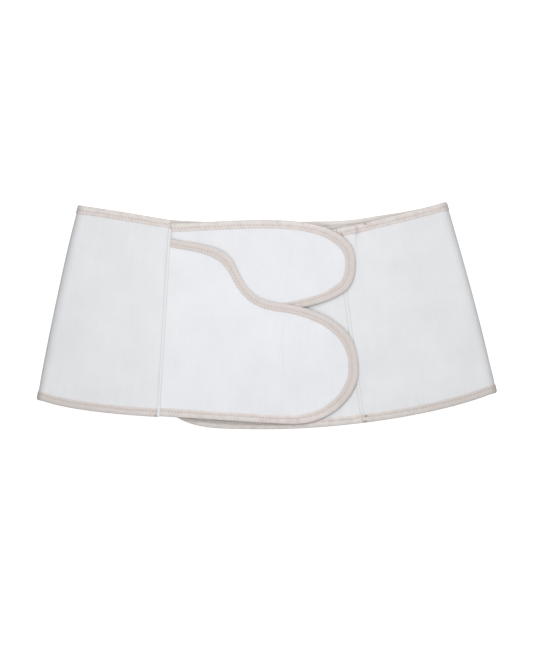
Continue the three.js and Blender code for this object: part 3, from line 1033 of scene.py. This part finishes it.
# The seam thread is darker than the white thread: it is the stitches, and painted shadow for the fine
# shadow lines along both sides of the tape
SEAM_THREAD_AND_SHADOW_SHADE = photo_colour(180, 178, 177)
SEAM_THREAD_AND_SHADOW_LIGHT = photo_colour(202, 201, 201)
shadowed_seam_thread = twisted_thread("shadowed_seam_thread", SEAM_THREAD_AND_SHADOW_SHADE, SEAM_THREAD_AND_SHADOW_LIGHT)
seam_white = knitted_finish(
    "seam_white", SEAM_ROUGHNESS, SEAM_PITCH, SEAM_RELIEF, SEAM_SHADE, SEAM_LIGHT)


def sew_seam(name, joint, sides, over_hip_binding):
    """A narrow tape along the band's end, between two sides of the joint, sewn down along both."""
    right = square_to(joint)
    height = section_height(joint)
    on_cloth = (WALL + SEAM_TAPE) / 2
    on_binding = TAPE_RISE + TAPE_SWELL + (TAPE + SEAM_TAPE) / 2
    hip_end = height if over_hip_binding else height - SEAM_CLEAR

    def place(along, across):
        depth = SEAM_CLEAR + (hip_end - SEAM_CLEAR) * across
        off_joint = sides[0] + (sides[1] - sides[0]) * along
        climb = 1 - ease(SEAM_CLEAR, SEAM_CLEAR + SEAM_CLIMB, height - depth) if over_hip_binding else 0
        lift = on_cloth + (on_binding - on_cloth) * climb
        return band_point(joint, depth) + right * off_joint + UP * lift, (off_joint, depth)

    tape = cloth_piece(name, SEAM_COLUMNS, SEAM_ROWS, place, SEAM_TAPE, seam_white)
    belongs(tape, "seam_tape", name + "_tape")
    places = []
    # The dark stitch rows along both sides also carry the tape's edge shadows as painted shadow
    for side in SEAM_STITCH_SIDES:
        line = [place(side, step / SEAM_ROWS)[0] for step in range(SEAM_ROWS + 1)]
        places += stitch_row(line, SEAM_STITCH_PITCH, SEAM_TAPE / 2)
    belongs(thread_pieces(name + "_stitches", places, SEAM_STITCH_LENGTH, shadowed_seam_thread), "seam_tape")


sew_seam("left_seam", left_wing["section"](0), LEFT_SEAM_SIDES, True)
sew_seam("right_seam", right_wing["section"](1), RIGHT_SEAM_SIDES, False)

# Bar tacks are short, dense bars of brown thread that hold the ends of the bindings where the band
# meets the flaps and the under panel. Some run along the tape and some across it.
TACK_ROWS = 4
FACING_UP = 0.99
TACK_KINDS = [
    {"name": "bar_tacks_along", "across": False, "length": 4.2 * MM, "pitch": 0.5 * MM},
    {"name": "bar_tacks_across", "across": True, "length": 2.3 * MM, "pitch": 2.0 * MM},
]
BAR_TACKS = [
    {"tape": waist_stations, "x": -105.6 * MM, "inward": 4.6 * MM, "across": True},
    {"tape": waist_stations, "x": 76.2 * MM, "inward": 5.0 * MM, "across": True},
    {"tape": waist_stations, "x": 80.5 * MM, "inward": 7.6 * MM, "across": False},
    {"tape": waist_stations, "x": 108.5 * MM, "inward": 1.2 * MM, "across": False},
    {"tape": hip_stations, "x": -121.6 * MM, "inward": 4.2 * MM, "across": True},
    {"tape": hip_stations, "x": -122.4 * MM, "inward": 1.2 * MM, "across": False},
    {"tape": hip_stations, "x": 105.0 * MM, "inward": 4.6 * MM, "across": True},
    {"tape": hip_stations, "x": 110.0 * MM, "inward": 7.0 * MM, "across": False},
    {"tape": hip_stations, "x": 108.0 * MM, "inward": 1.2 * MM, "across": False},
]
TACK_SHADE = photo_colour(150, 128, 118)
tack_thread = twisted_thread("tack_thread", TACK_SHADE, THREAD_SHADE)


def tack_places(tack, pitch):
    """Places for the threads of one bar tack, on the front of its tape."""
    front = [station for station in tack["tape"] if station.up.z > FACING_UP]
    index = min(range(1, len(front) - 1), key=lambda place: abs(front[place].edge.x - tack["x"]))
    station = front[index]
    heading = station.inward
    if not tack["across"]:
        heading = (front[index + 1].edge - front[index - 1].edge).normalized()
    places = []
    for bar in range(TACK_ROWS):
        inward = tack["inward"] + (bar - (TACK_ROWS - 1) / 2) * pitch
        surface = tape_height(inward, math.pi) + TAPE / 2
        places.append((station.edge + station.inward * inward + UP * surface, heading, UP))
    return places


for kind in TACK_KINDS:
    places = []
    for tack in BAR_TACKS:
        if tack["across"] == kind["across"]:
            places += tack_places(tack, kind["pitch"])
    belongs(thread_pieces(kind["name"], places, kind["length"], tack_thread), "binding_tape")
